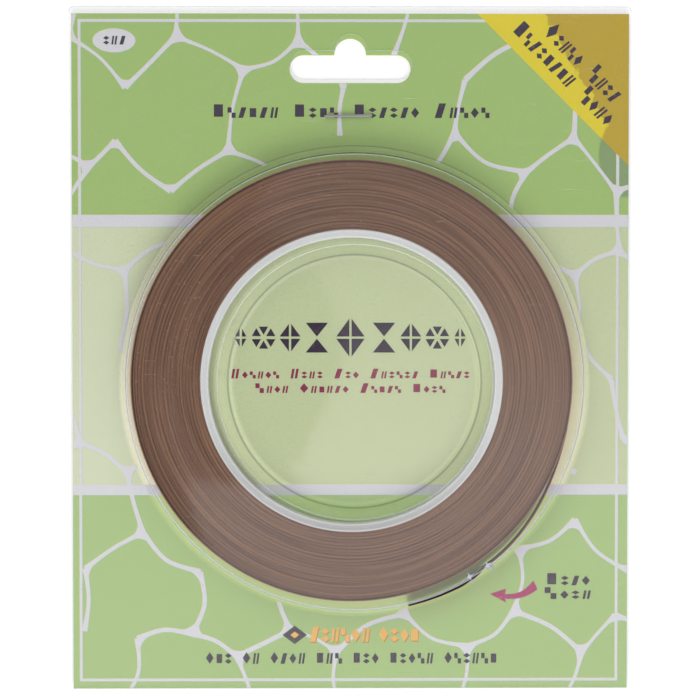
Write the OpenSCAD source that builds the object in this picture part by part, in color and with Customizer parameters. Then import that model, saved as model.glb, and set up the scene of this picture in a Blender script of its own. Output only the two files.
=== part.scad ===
// Copper foil tape roll in a hang-card dispenser pack.
// The pack lies on its back: +Z out of the printed face, +Y towards the hang hole.
// The origin is at the middle of the pack's outline, at the height it rests on.

/* [Card] */
// Width of the printed backing card
card_w = 149; // [140:1:170]
// Height of the backing card
card_h = 181; // [175:1:210]
// Thickness of the board
card_t = 0.55; // [0.35:0.05:0.8]
// Width of the hang slot
slot_w = 32.3; // [24:0.1:36]
// Height of the hang slot
slot_h = 7.4; // [6:0.1:9]
// Radius of the peg dome above the slot
dome_r = 4.2; // [3.5:0.1:5]
// Height of the slot's middle above the middle of the card
slot_y = 75.7; // [70:0.1:76]

/* [Clear cover] */
// Thickness of the clear sheet
sheet_t = 0.4; // [0.25:0.05:0.5]
// How far the sheet reaches past the card's top edge
top_lip = 1.9; // [0.5:0.1:4]
// Width of each flange folded round behind the card
fold_w = 8; // [5:0.5:15]
// Radius of the sheet's top corners
corner_r = 1.5; // [1:0.5:8]
// How far the sheet's hang hole sits above the card's
hole_shift = 1.1; // [0:0.1:1.5]

/* [Blister] */
// Place of the blister's middle across the card
blister_x = 1.1; // [-2:0.1:2]
// Place of the blister's middle up the card
blister_y = -7.8; // [-9:0.1:-6]
// Radius over the channel's outer wall, at its roof
wall_r = 61; // [60.6:0.1:62]
// Radius of the round recess inside the channel, at the roof
hub_top_r = 36.4; // [34:0.1:36.6]
// Radius of the recess at its floor
hub_floor_r = 34; // [30:0.1:34.5]
// Height of the blister above the flat sheet
blister_h = 5.95; // [5.8:0.05:7]
// Angle at which the tape slit starts
slit_start = -54; // [-56:0.5:-52]
// Angle at which the tape slit ends
slit_end = -59.4; // [-62:0.1:-58]

/* [Roll] */
// Inner radius of the core, a 3 inch winding mandrel
core_in_r = 38.1; // [38:0.05:38.2]
// Outer radius of the core
core_out_r = 40.3; // [39.5:0.1:41]
// Height of the core
core_h = 5; // [4.8:0.1:5.2]
// Outer radius of the full roll
roll_r = 58.85; // [50:0.05:58.9]
// Width of the tape, 3/16 inch
tape_w = 4.76; // [3:0.01:4.8]
// Thickness of the copper with its adhesive
foil_t = 0.06; // [0.04:0.005:0.06]
// Thickness of the paper liner
liner_t = 0.115; // [0.08:0.005:0.12]
// How far the loose roll lies to the left of the blister's middle
roll_dx = -0.85; // [-1:0.05:0]
// How far the loose roll lies above the blister's middle
roll_dy = 0.35; // [0:0.05:0.5]

/* [Tape end] */
// Angle at which the tape leaves the roll
lead_start = -14; // [-20:1:-10]
// Angle at which the lead ends and the free tail begins, past the slit
tail_start = -60.5; // [-62:0.1:-60.4]
// Angle of the free end, round the outside of the blister
tail_end = -76.5; // [-90:0.5:-70]

/* [Staple] */
// Length of the staple's crown
staple_w = 12.8; // [10:0.1:14]
// Width of the flattened wire
wire_w = 0.7; // [0.5:0.05:0.8]
// Thickness of the flattened wire
wire_t = 0.5; // [0.3:0.05:0.5]
// Length of each leg's clinched end
clinch = 4.2; // [3:0.1:4.4]
// Height of the staple above the middle of the card
staple_y = 63.2; // [60:0.1:66]
// Lean of the staple, its right end higher
staple_tilt = 1; // [0:0.5:3]

/* [Hidden] */
$fn = 96;
eps = 0.01;

// Heights, from the surface the pack rests on
card_z = sheet_t + 0.2;
sheet_z = card_z + card_t + 0.05;
sheet_top = sheet_z + sheet_t;
roof_z = sheet_top + blister_h;
core_z = sheet_top + 0.05;
tape_z = core_z + (core_h - tape_w) / 2;

// The card's middle lies below the origin by half the lip over its top edge
card_y = -top_lip / 2;
edge_gap = 0.3;
cover_w = card_w + 2 * (edge_gap + sheet_t);
fold_top = card_h / 2 - corner_r - 1;
blister_at = [blister_x, blister_y + card_y, 0];
roll_at = blister_at + [roll_dx, roll_dy, 0];

// The wall leans in by this much from its foot to its roof
draft = 0.15;
bead_r = wall_r + 1.6;
bead_w = 0.5;
bead_h = 0.1;
ring_edge = wall_r + 1.2;
floor_edge = hub_floor_r - 1.5;
ease = 0.4;

// The slit's inner lip, pushed in behind the line of the wall
lip_gap = 0.45;
lip_out_r = wall_r - sheet_t - lip_gap;
lip_in_r = lip_out_r - sheet_t;
lip_over = 0.4;
slit_top = roof_z - sheet_t - 0.15;

strip_t = liner_t + foil_t;
turn_in_r = roll_r - strip_t;
strip_gap = 0.1;
strip_joint = 0.1;
strip_steps = 48;

staple_at = [-0.6, staple_y + card_y, 0];
leg_x = staple_w / 2 - wire_t / 2;
leg_room = 0.06;
clinch_z = 0.1;

function polar(r, a) = [r * cos(a), r * sin(a)];
function smooth(t) = let (u = min(1, max(0, t))) u * u * (3 - 2 * u);

// Distance of the roll's rim from the blister's middle, in direction a
function rim(a) = let (along = roll_dx * cos(a) + roll_dy * sin(a),
                       across = roll_dy * cos(a) - roll_dx * sin(a))
    along + sqrt(roll_r * roll_r - across * across);

// The strip's inner face: off the roll, out to the wall, through the slit, along the wall
start_r = rim(lead_start) + strip_gap;
wall_run_r = wall_r - sheet_t - strip_t - 0.11;
outside_r = wall_r + draft + 0.07;
end_r = outside_r + 0.13;
function strip_r(a) =
    a > slit_start ? start_r + (wall_run_r - start_r) * smooth((a - lead_start) / (slit_start - lead_start)) :
    a > slit_end ? wall_run_r + (outside_r - wall_run_r) * smooth((a - slit_start) / (slit_end + 0.2 - slit_start)) :
    outside_r + (end_r - outside_r) * (a - slit_end) / (tail_end - slit_end);

// A band that follows the strip's path between two angles, at a depth within the strip
module strip(from, to, depth, thick) {
    angles = [for (i = [0 : strip_steps]) from + (to - from) * i / strip_steps];
    inner = [for (a = angles) polar(strip_r(a) + depth, a)];
    outer = [for (i = [strip_steps : -1 : 0]) polar(strip_r(angles[i]) + depth + thick, angles[i])];
    translate(blister_at + [0, 0, tape_z])
        linear_extrude(tape_w) polygon(concat(inner, outer));
}

// Part of a flat ring between two angles less than 90 degrees apart
module ring_sector(r_in, r_out, from, to) {
    reach = 2 * r_out;
    intersection() {
        difference() {
            circle(r = r_out);
            circle(r = r_in);
        }
        polygon([[0, 0], polar(reach, from), polar(reach, (from + to) / 2), polar(reach, to)]);
    }
}

module tube(r_in, r_out, h) {
    difference() {
        cylinder(r = r_out, h = h);
        translate([0, 0, -1]) cylinder(r = r_in, h = h + 2);
    }
}

// The hang hole: a slot with round ends and a dome for the peg
module hang_hole() {
    straight = slot_w - slot_h;
    translate([-0.1, slot_y + card_y]) {
        square([straight, slot_h], center = true);
        for (side = [-1, 1]) translate([side * straight / 2, 0]) circle(d = slot_h);
        translate([-dome_r, 0]) square([2 * dome_r, slot_h / 2 + 0.2]);
        translate([0, slot_h / 2 + 0.2]) circle(r = dome_r);
    }
}

// Holes that the staple's legs were driven through
module leg_holes() {
    translate(staple_at) rotate(staple_tilt)
        for (side = [-1, 1]) translate([side * leg_x, 0])
            square([wire_t + 2 * leg_room, wire_w + 2 * leg_room], center = true);
}

module backing_card() {
    color([0.71, 0.76, 0.58])
        translate([0, 0, card_z]) linear_extrude(card_t) difference() {
            translate([0, card_y]) square([card_w, card_h], center = true);
            hang_hole();
            leg_holes();
        }
}

// Outline of the flat sheet: square at the bottom, round at the two top corners
module sheet_outline() {
    low = card_y - card_h / 2;
    high = card_y + card_h / 2 + top_lip;
    half = cover_w / 2;
    translate([-half, low]) square([cover_w, high - low - corner_r]);
    translate([-half + corner_r, low]) square([cover_w - 2 * corner_r, high - low]);
    for (side = [-1, 1])
        translate([side * (half - corner_r), high - corner_r]) circle(r = corner_r);
}

// Section of the channel, from the flat sheet over the roof and down into the recess
module channel_section() {
    roof_in = roof_z - sheet_t;
    polygon([
        [ring_edge, sheet_z], [ring_edge, sheet_top],
        [wall_r + draft, sheet_top], [wall_r, roof_z - ease], [wall_r - ease, roof_z],
        [hub_top_r + ease, roof_z], [hub_top_r, roof_z - ease], [hub_floor_r, sheet_top],
        [floor_edge, sheet_top], [floor_edge, sheet_z],
        [hub_floor_r + sheet_t, sheet_z], [hub_top_r + sheet_t, roof_in - ease / 2],
        [hub_top_r + sheet_t + ease / 2, roof_in],
        [wall_r - sheet_t - ease / 2, roof_in], [wall_r - sheet_t, roof_in - ease / 2],
        [wall_r - sheet_t + draft, sheet_z]
    ]);
}

module blister_cover() {
    low = card_y - card_h / 2;
    color([0.85, 0.87, 0.9, 0.35]) {
        difference() {
            union() {
                // Flat sheet round the channel, and the floor of the recess
                translate([0, 0, sheet_z]) linear_extrude(sheet_t) difference() {
                    sheet_outline();
                    translate([blister_at[0], blister_at[1]]) circle(r = wall_r + 0.6);
                    translate([0.3, hole_shift]) hang_hole();
                    leg_holes();
                }
                translate(blister_at + [0, 0, sheet_z]) cylinder(r = floor_edge + 0.5, h = sheet_t);
                translate(blister_at) rotate_extrude() channel_section();
                translate(blister_at + [0, 0, sheet_top - eps]) tube(bead_r, bead_r + bead_w, bead_h + eps);
                // Edges folded down and back behind the card
                for (side = [0, 1]) mirror([side, 0, 0]) {
                    translate([cover_w / 2 - sheet_t, low, 0])
                        cube([sheet_t, card_h / 2 + fold_top, sheet_top - eps]);
                    translate([cover_w / 2 - fold_w, low, 0])
                        cube([fold_w, card_h / 2 + fold_top, sheet_t]);
                }
            }
            // Slit in the channel's wall
            translate(blister_at + [0, 0, sheet_top]) linear_extrude(slit_top - sheet_top)
                ring_sector(wall_r - 1, wall_r + 1, slit_end, slit_start);
        }
        // Lip pushed in at the slit, still joined to the roof and to the flat sheet
        translate(blister_at + [0, 0, sheet_z]) {
            linear_extrude(roof_z - sheet_t / 2 - sheet_z)
                ring_sector(lip_in_r, lip_out_r, slit_end - lip_over, slit_start + lip_over);
            linear_extrude(sheet_t)
                ring_sector(lip_in_r, wall_r, slit_end - lip_over, slit_start + lip_over);
        }
    }
}

module staple() {
    crown_z = sheet_top + eps;
    color([0.78, 0.79, 0.81]) translate(staple_at) rotate(staple_tilt) {
        translate([-staple_w / 2, -wire_w / 2, crown_z]) cube([staple_w, wire_w, wire_t]);
        for (side = [0, 1]) mirror([side, 0, 0]) {
            translate([leg_x - wire_t / 2, -wire_w / 2, clinch_z])
                cube([wire_t, wire_w, crown_z + eps - clinch_z]);
            translate([leg_x + wire_t / 2 - clinch, -wire_w / 2, clinch_z])
                cube([clinch, wire_w, card_z - clinch_z - eps]);
        }
    }
}

module lead_foil() {
    color([0.72, 0.45, 0.3]) strip(lead_start, tail_start, liner_t, foil_t);
}

module lead_liner() {
    color([0.5, 0.4, 0.3]) strip(lead_start, tail_start, 0, liner_t);
}

module roll_core() {
    color([0.85, 0.86, 0.84]) translate(roll_at + [0, 0, core_z]) tube(core_in_r, core_out_r, core_h);
}

module tape_windings() {
    color([0.5, 0.4, 0.34]) translate(roll_at + [0, 0, tape_z]) tube(core_out_r, turn_in_r, tape_w);
}

module outer_turn_foil() {
    color([0.72, 0.45, 0.3]) translate(roll_at + [0, 0, tape_z]) tube(roll_r - foil_t, roll_r, tape_w);
}

module outer_turn_liner() {
    color([0.5, 0.4, 0.3]) translate(roll_at + [0, 0, tape_z]) tube(turn_in_r, roll_r - foil_t, tape_w);
}

module tail_foil() {
    color([0.72, 0.45, 0.3]) strip(tail_start - strip_joint, tail_end, liner_t, foil_t);
}

module tail_liner() {
    color([0.5, 0.4, 0.3]) strip(tail_start - strip_joint, tail_end, 0, liner_t);
}

backing_card();
blister_cover();
staple();
lead_foil();
lead_liner();
roll_core();
tape_windings();
outer_turn_foil();
outer_turn_liner();
tail_foil();
tail_liner();
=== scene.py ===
"""Copper foil tape roll in its hang-card dispenser pack: the looks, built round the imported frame.

Lengths are millimetres in the frame's axes, which to_mesh turns into metres; the floor, the lamps and
the camera's distance are in metres.
"""

import math
import random

import bmesh
import bpy
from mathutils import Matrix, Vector
from mathutils.geometry import delaunay_2d_cdt


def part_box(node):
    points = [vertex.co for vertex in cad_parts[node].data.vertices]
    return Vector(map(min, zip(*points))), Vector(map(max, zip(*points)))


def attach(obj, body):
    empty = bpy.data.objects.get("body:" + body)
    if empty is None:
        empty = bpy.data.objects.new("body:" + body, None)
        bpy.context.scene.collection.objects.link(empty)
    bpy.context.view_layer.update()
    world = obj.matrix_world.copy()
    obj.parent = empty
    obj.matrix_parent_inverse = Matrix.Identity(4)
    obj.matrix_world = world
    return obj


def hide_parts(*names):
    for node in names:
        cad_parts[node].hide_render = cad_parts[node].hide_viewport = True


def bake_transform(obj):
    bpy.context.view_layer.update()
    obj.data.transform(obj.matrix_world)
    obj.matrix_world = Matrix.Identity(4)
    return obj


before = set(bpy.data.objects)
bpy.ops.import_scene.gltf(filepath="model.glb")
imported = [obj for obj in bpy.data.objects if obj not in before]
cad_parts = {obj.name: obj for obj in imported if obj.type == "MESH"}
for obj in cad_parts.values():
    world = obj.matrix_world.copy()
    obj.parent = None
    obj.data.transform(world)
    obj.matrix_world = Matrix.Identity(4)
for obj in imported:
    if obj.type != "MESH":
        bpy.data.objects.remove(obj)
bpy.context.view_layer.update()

MM = 0.001
TAU = 2 * math.pi
random.seed(7)


# ---------------------------------------------------------------- sizes, from the frame

def node_box(name):
    """Lowest and highest corner of a CAD node, in millimetres."""
    low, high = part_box(name)
    return Vector(low) / MM, Vector(high) / MM


card_low, card_high = node_box("backing_card")
cover_low, cover_high = node_box("blister_cover")
core_low, core_high = node_box("roll_core")
tape_low, tape_high = node_box("tape_windings")
turn_low, turn_high = node_box("outer_turn_foil")

CARD_X = (card_low.x + card_high.x) / 2
CARD_Y = (card_low.y + card_high.y) / 2
CARD_HALF_W = (card_high.x - card_low.x) / 2
CARD_HALF_H = (card_high.y - card_low.y) / 2
CARD_TOP = card_high.z

SHEET_T = 0.4
SHEET_GAP = 0.05
SHEET_TOP = CARD_TOP + SHEET_GAP + SHEET_T
ROOF_Z = cover_high.z

ROLL = Vector(((core_low.x + core_high.x) / 2, (core_low.y + core_high.y) / 2, 0))
CORE_OUT_R = (core_high.x - core_low.x) / 2
CORE_IN_R = 38.1
ROLL_R = (turn_high.x - turn_low.x) / 2
FOIL_T = 0.06
LINER_T = 0.115
PITCH = FOIL_T + LINER_T

BLISTER = ROLL - Vector((-0.85, 0.35, 0))
WALL_R = 61.0
WALL_FOOT_R = 61.15
HUB_TOP_R = 36.4
RING_R = 62.4
BEAD_R = 62.85

# The slit in the channel's wall, in degrees round the blister, and how far its lip is pushed in
SLIT_START = -54.0
SLIT_END = -59.4
LIP_R = 60.2


def polar(r, degrees, centre=BLISTER):
    a = math.radians(degrees)
    return centre.x + r * math.cos(a), centre.y + r * math.sin(a)


def smooth(t):
    t = min(1.0, max(0.0, t))
    return t * t * (3 - 2 * t)


def mix(a, b, t):
    return a + (b - a) * t


# ---------------------------------------------------------------- mesh helpers

def to_mesh(name, points, faces, materials=(), slots=None, shade_smooth=True):
    """A mesh object from millimetre points; slots gives each face its material's number."""
    mesh = bpy.data.meshes.new(name)
    mesh.from_pydata([(x * MM, y * MM, z * MM) for x, y, z in points], [], faces)
    for material in materials:
        mesh.materials.append(material)
    if slots:
        mesh.polygons.foreach_set("material_index", slots)
    mesh.polygons.foreach_set("use_smooth", [shade_smooth] * len(mesh.polygons))
    mesh.validate()
    mesh.update()
    piece = bpy.data.objects.new(name, mesh)
    bpy.context.scene.collection.objects.link(piece)
    return piece


def grid_faces(rows, columns, closed_rows=False, closed_columns=False):
    """Quads over points laid out row by row."""
    faces = []
    for i in range(rows if closed_rows else rows - 1):
        for j in range(columns if closed_columns else columns - 1):
            i2, j2 = (i + 1) % rows, (j + 1) % columns
            faces.append((i * columns + j, i * columns + j2, i2 * columns + j2, i2 * columns + j))
    return faces


def tube_faces(rows, across):
    """Quads round a closed section carried along a path, and a cap at each end."""
    last = (rows - 1) * across
    caps = [tuple(reversed(range(across))), tuple(last + k for k in range(across))]
    return grid_faces(rows, across, closed_columns=True) + caps


def arc(cx, cz, r, start, end, steps):
    """Points round a circle in a section, both ends included, angles in degrees."""
    return [(cx + r * math.cos(math.radians(mix(start, end, i / steps))),
             cz + r * math.sin(math.radians(mix(start, end, i / steps)))) for i in range(steps + 1)]


def settle(piece, sharp_angle):
    """Makes the modifiers' shape the mesh itself, and marks the edges sharper than the angle."""
    shape = piece.evaluated_get(bpy.context.evaluated_depsgraph_get())
    mesh = bpy.data.meshes.new_from_object(shape)
    piece.modifiers.clear()
    piece.data = mesh
    mesh.set_sharp_from_angle(angle=math.radians(sharp_angle))


def place(piece, body, slot, *replaced):
    """Puts a piece on a body and hides the CAD nodes it replaces; slot is not used."""
    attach(piece, body)
    if replaced:
        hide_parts(*replaced)
    return piece


# ---------------------------------------------------------------- material helpers

def srgb(r, g, b):
    """Display colour, 0 to 255, as a linear RGBA."""
    def linear(c):
        c /= 255
        return c / 12.92 if c <= 0.04045 else ((c + 0.055) / 1.055) ** 2.4
    return linear(r), linear(g), linear(b), 1.0


class Nodes:
    """Short calls for building one material's node tree."""

    def __init__(self, name):
        self.material = bpy.data.materials.new(name)
        self.material.use_nodes = True
        self.tree = self.material.node_tree
        self.tree.nodes.clear()
        self.out = self.tree.nodes.new("ShaderNodeOutputMaterial")

    def add(self, kind, **inputs):
        node = self.tree.nodes.new("ShaderNode" + kind)
        for key, value in inputs.items():
            self.set(node, key.replace("_", " "), value)
        return node

    def set(self, node, key, value):
        socket = node.inputs[int(key)] if key.isdigit() else node.inputs[key]
        if hasattr(value, "is_output"):
            self.tree.links.new(value, socket)
        else:
            socket.default_value = value

    def math(self, operation, a, b=0.0, c=None, clamp=False):
        node = self.tree.nodes.new("ShaderNodeMath")
        node.operation = operation
        node.use_clamp = clamp
        self.set(node, "0", a)
        self.set(node, "1", b)
        if c is not None:
            self.set(node, "2", c)
        return node.outputs[0]

    def plus(self, a, b):
        return self.math("ADD", a, b)

    def minus(self, a, b, clamp=False):
        return self.math("SUBTRACT", a, b, clamp=clamp)

    def times(self, a, b):
        return self.math("MULTIPLY", a, b)

    def line(self, value, slope, start, clamp=False):
        """The value times slope, plus start."""
        return self.math("MULTIPLY_ADD", value, slope, start, clamp=clamp)

    def rest(self, share):
        """What a share leaves of one."""
        return self.minus(1.0, share)

    def length(self, dx, dy):
        """Length of the diagonal of dx and dy."""
        return self.math("SQRT", self.plus(self.times(dx, dx), self.times(dy, dy)))

    def step(self, value, edge, soft):
        """0 below edge and 1 above it, over a width of soft."""
        return self.line(value, 1 / soft, 0.5 - edge / soft, clamp=True)

    def blend(self, fac, a, b, kind="MIX"):
        node = self.tree.nodes.new("ShaderNodeMix")
        node.data_type = "RGBA"
        node.blend_type = kind
        self.set(node, "0", fac)
        self.set(node, "6", a)
        self.set(node, "7", b)
        return node.outputs[2]

    def position(self):
        """The object's own coordinates in millimetres: vector, x, y, z."""
        scale = self.tree.nodes.new("ShaderNodeVectorMath")
        scale.operation = "SCALE"
        self.tree.links.new(self.add("TexCoord").outputs["Object"], scale.inputs[0])
        scale.inputs["Scale"].default_value = 1 / MM
        parts = self.add("SeparateXYZ", Vector=scale.outputs[0])
        return scale.outputs[0], parts.outputs[0], parts.outputs[1], parts.outputs[2]

    def noise(self, vector, scale, detail=2.0, roughness=0.5):
        node = self.add("TexNoise", Vector=vector, Scale=scale, Detail=detail, Roughness=roughness)
        return node.outputs["Fac"]

    def bump(self, height, distance, strength=1.0):
        node = self.add("Bump", Height=height, Strength=strength)
        node.inputs["Distance"].default_value = distance * MM
        return node.outputs[0]

    def principled(self, colour, roughness, normal=None, **settings):
        """Finishes the material as one principled surface; settings name its other sockets."""
        shader = self.add("BsdfPrincipled", Base_Color=colour, Roughness=roughness, **settings)
        if normal is not None:
            self.set(shader, "Normal", normal)
        return self.surface(shader.outputs[0])

    def mixed(self, share, first, second):
        """One shader or the other, by share."""
        return self.add("MixShader", **{"0": share, "1": first.outputs[0], "2": second.outputs[0]})

    def surface(self, shader):
        self.tree.links.new(shader, self.out.inputs["Surface"])
        return self.material


def print_grain(n, vector, colour, amount=0.15):
    """Ink on board: fine mottling and a few darker specks over a colour."""
    grain = n.noise(vector, 2.0, 4.0, 0.8)
    tone = n.line(grain, amount * 2, 1 - amount)
    shade = n.add("CombineColor")
    for i in range(3):
        n.set(shade, str(i), tone)
    tinted = n.blend(1.0, colour, shade.outputs[0], "MULTIPLY")
    cells = n.add("TexVoronoi", Vector=vector, Scale=0.28)
    size = n.add("SeparateColor")
    n.tree.links.new(cells.outputs["Color"], size.inputs[0])
    limit = n.times(n.minus(size.outputs[0], 0.55, clamp=True), 0.10)
    speck = n.math("LESS_THAN", cells.outputs["Distance"], limit)
    return n.blend(n.times(speck, 0.35), tinted, srgb(70, 80, 60))


def ink_surface(n, colour, vector):
    """Satin printed board with a little fibre showing."""
    fibre = n.noise(vector, 1.6, 4.0, 0.6)
    return n.principled(colour, 0.3, n.bump(fibre, 0.01, 0.35), Specular_IOR_Level=0.5)


# ---------------------------------------------------------------- materials

GREEN_TOP = srgb(152, 181, 102)
GREEN_MIDDLE = srgb(187, 197, 153)
GREEN_BOTTOM = srgb(153, 181, 110)
LAVENDER = srgb(205, 204, 208)
YELLOW = srgb(214, 196, 16)
PURPLE = srgb(36, 14, 44)
MAGENTA = srgb(132, 16, 66)
PINK = srgb(160, 32, 94)
ORANGE = srgb(224, 172, 80)

# Heights up the card of the two bands between the three panels, from the card's middle
UPPER_BAND = (33.6, 36.8)
LOWER_BAND = (-38.3, -35.5)


def card_material():
    """Printed face with three green panels; plain greyish board on the back and the cut edges."""
    n = Nodes("printed_card")
    vector, x, y, _ = n.position()
    above_low = n.step(y, CARD_Y + sum(LOWER_BAND) / 2, 0.05)
    above_high = n.step(y, CARD_Y + sum(UPPER_BAND) / 2, 0.05)
    fade = n.line(n.noise(vector, 0.012, 1.0), 0.5, -0.05, clamp=True)
    # Painted reflection: the middle panel is lighter towards the left, for the pale sheen the clear sheet
    # reflects there.
    left = n.rest(n.step(x, CARD_X - 54.0, 22.0))
    middle = n.blend(left, GREEN_MIDDLE, srgb(199, 206, 172))
    low = n.blend(fade, GREEN_BOTTOM, srgb(171, 194, 130))
    face = n.blend(above_low, low, middle)
    face = n.blend(above_high, face, GREEN_TOP)
    face = n.blend(corner_stain(n, vector, x, y), face, srgb(122, 146, 97))
    # painted light: lighter print round the channel and beside the core
    face = channel_glow(n, x, y, face)
    face = print_grain(n, vector, face)

    board = n.blend(n.noise(vector, 0.9, 4.0, 0.7), srgb(196, 192, 182), srgb(222, 219, 210))
    flecks = n.math("GREATER_THAN", n.noise(vector, 2.4, 2.0), 0.72)
    board = n.blend(n.times(flecks, 0.35), board, srgb(140, 130, 112))
    normal = n.add("SeparateXYZ", Vector=n.add("NewGeometry").outputs["Normal"])
    front = n.math("GREATER_THAN", normal.outputs[2], 0.5)
    return ink_surface(n, n.blend(front, board, face), vector)


def channel_glow(n, x, y, colour):
    """Painted light: the print is made lighter near the foil and the core, for the light they throw back;
    weakest towards the top, and beside the core only on the lower half.
    """
    radius = distance_from(n, x, y, BLISTER)
    ring = band(n, radius, 57.8, 62.9, 1.0)
    up = n.math("DIVIDE", n.minus(y, BLISTER.y), 60.0)
    amount = n.line(n.math("MAXIMUM", up, -0.25), -0.75, 0.90, clamp=True)
    painted_light = n.blend(1.0, colour, (1.58, 1.42, 1.60, 1), "MULTIPLY")
    colour = n.blend(n.times(ring, amount), colour, painted_light)
    # painted light beside the core, on its lower half only
    lower_half = n.line(up, -0.75, 0.45, clamp=True)
    beside_core = n.times(band(n, radius, 32.6, 37.4, 1.2), lower_half)
    painted_core_light = n.blend(1.0, colour, (1.45, 1.42, 1.40, 1), "MULTIPLY")
    return n.blend(beside_core, colour, painted_core_light)


def corner_stain(n, vector, x, y):
    """A darker patch with a ragged edge in the card's top right corner."""
    ragged = n.line(n.noise(vector, 0.25, 4.0, 0.6), 7.0, -3.5)
    slope = n.line(y, 0.59, n.minus(x, 0.59 * (CARD_Y + 90.0) + CARD_X + 51.8))
    beyond = n.step(n.plus(slope, ragged), 0.0, 0.5)
    upper = n.times(beyond, n.step(y, CARD_Y + 56.0, 0.5))
    dx = n.math("DIVIDE", n.minus(x, CARD_X + 75.5), 9.0)
    dy = n.math("DIVIDE", n.minus(y, CARD_Y + 52.5), 11.2)
    reach = n.length(dx, dy)
    reach = n.plus(reach, n.times(ragged, 0.03))
    lower = n.rest(n.step(reach, 1.0, 0.07))
    return n.times(n.math("MAXIMUM", upper, lower), 0.9)


def ink(name, colour, corner_darkened=False, painted_light=True):
    """Printing ink, optionally darker in the card's top right corner, and by default lighter beside the roll,
    where light is painted in.
    """
    n = Nodes(name)
    vector, x, y, _ = n.position()
    shade = colour
    if corner_darkened:
        shade = n.blend(corner_stain(n, vector, x, y), colour, srgb(176, 148, 16))
    if painted_light:
        shade = channel_glow(n, x, y, shade)
    return ink_surface(n, print_grain(n, vector, shade, 0.08), vector)


def clear_plastic():
    """Thin clear sheet: a surface mirror, faint haze and scuffs; where it bends sharply, painted dark and
    bright lines stand in for refraction and reflection, the dark ones deeper towards the top, and the wall is
    milkier towards the front as a painted sheen.
    """
    n = Nodes("clear_sheet")
    vector, x, y, z = n.position()
    wave = n.noise(vector, 0.05, 2.0)
    fine = n.noise(vector, 1.2, 3.0)
    height = n.plus(wave, n.times(fine, 0.02))
    normal = n.bump(height, 0.06, 0.5)
    mirror = n.add("BsdfGlossy", Color=(1, 1, 1, 1), Roughness=0.05, Normal=normal)
    facing = n.add("LayerWeight", Blend=0.5).outputs["Facing"]

    radius = distance_from(n, x, y, BLISTER)
    high = n.step(z, 5.2, 0.4)
    low = n.rest(n.step(z, 3.0, 0.4))
    up = n.math("DIVIDE", n.minus(y, BLISTER.y), 60.0, clamp=True)
    # Painted shade: dark lines at the wall's top, the hub's foot and the outer bead stand for refraction,
    # darker towards the top.
    wall = n.times(band(n, radius, 60.68, 61.25, 0.06), high)
    dark = n.times(wall, n.line(up, 0.35, 0.5))
    hub = n.times(band(n, radius, 33.72, 34.22, 0.15), low)
    dark = n.math("MAXIMUM", dark, n.times(hub, 0.18))
    outer = n.times(band(n, radius, 62.95, 63.22, 0.1), up)
    dark = n.math("MAXIMUM", dark, n.times(outer, 0.16))
    # Painted highlights: bright lines just inside the wall's top and at the hub's rim.
    bright = n.times(band(n, radius, 60.42, 60.66, 0.06), high)
    bright = n.math("MAXIMUM", bright, n.times(band(n, radius, 36.50, 36.78, 0.06), high))
    tint = n.blend(dark, (0.98, 0.984, 0.988, 1), (0.22, 0.27, 0.34, 1))
    thin = n.add("BsdfTransparent", Color=tint)
    share = n.line(n.math("POWER", facing, 5.0), 0.96, 0.04)
    share = n.math("MINIMUM", share, n.line(high, -0.22, 0.30))
    glass = n.mixed(share, thin, mirror)

    stretched = n.add("Mapping", Vector=vector)
    stretched.inputs["Rotation"].default_value = (0, 0, math.radians(35))
    stretched.inputs["Scale"].default_value = (0.15, 2.5, 1.0)
    scuffs = n.math("GREATER_THAN", n.noise(stretched.outputs[0], 1.0, 2.0), 0.735)
    dust = n.math("GREATER_THAN", n.noise(vector, 2.1, 0.0), 0.80)
    marks = n.times(n.math("MAXIMUM", scuffs, dust), 0.10)
    # Painted sheen: a milky lavender line on the wall, strongest towards the front, added to the real scuffs
    # and dust.
    lit = n.rest(up)
    haze_and_painted_sheen = n.plus(n.plus(marks, 0.006), n.times(bright, 0.18))
    haze_and_painted_sheen = n.plus(haze_and_painted_sheen, n.times(n.times(wall, lit), 0.40))
    milk_tint = n.blend(wall, (0.90, 0.93, 0.97, 1), (0.62, 0.66, 0.86, 1))
    milk = n.add("BsdfDiffuse", Color=milk_tint)
    return n.surface(n.mixed(haze_and_painted_sheen, glass, milk).outputs[0])


def distance_from(n, x, y, centre):
    """Distance from a point, seen from above."""
    return n.length(n.minus(x, centre.x), n.minus(y, centre.y))


def band(n, value, low, high, soft):
    """1 between low and high, 0 outside, with soft edges."""
    return n.times(n.step(value, low, soft), n.rest(n.step(value, high, soft)))


def half_clear(n, share, colour, roughness, tint):
    """Milky plastic over tinted clear, by share."""
    milk = n.add("BsdfPrincipled", Base_Color=colour, Roughness=roughness)
    thin = n.add("BsdfTransparent", Color=tint)
    return n.surface(n.mixed(share, thin, milk).outputs[0])


def cut_edge_plastic():
    """The sheet's cut edge gathers light and shows as a fine grey line."""
    n = Nodes("sheet_cut_edge")
    vector, _, _, _ = n.position()
    colour = n.blend(n.noise(vector, 0.6, 3.0), srgb(150, 158, 160), srgb(226, 232, 238))
    return half_clear(n, 0.6, colour, 0.35, (0.9, 0.92, 0.94, 1))


def stressed_plastic():
    """The sheet where it was punched: creased white."""
    n = Nodes("stressed_sheet")
    vector, _, _, _ = n.position()
    cracks = n.noise(vector, 4.0, 3.0, 0.7)
    colour = n.blend(cracks, srgb(170, 178, 200), srgb(236, 238, 246))
    return half_clear(n, n.line(cracks, 0.6, 0.35, clamp=True), colour, 0.3, (0.9, 0.92, 0.96, 1))


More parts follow.
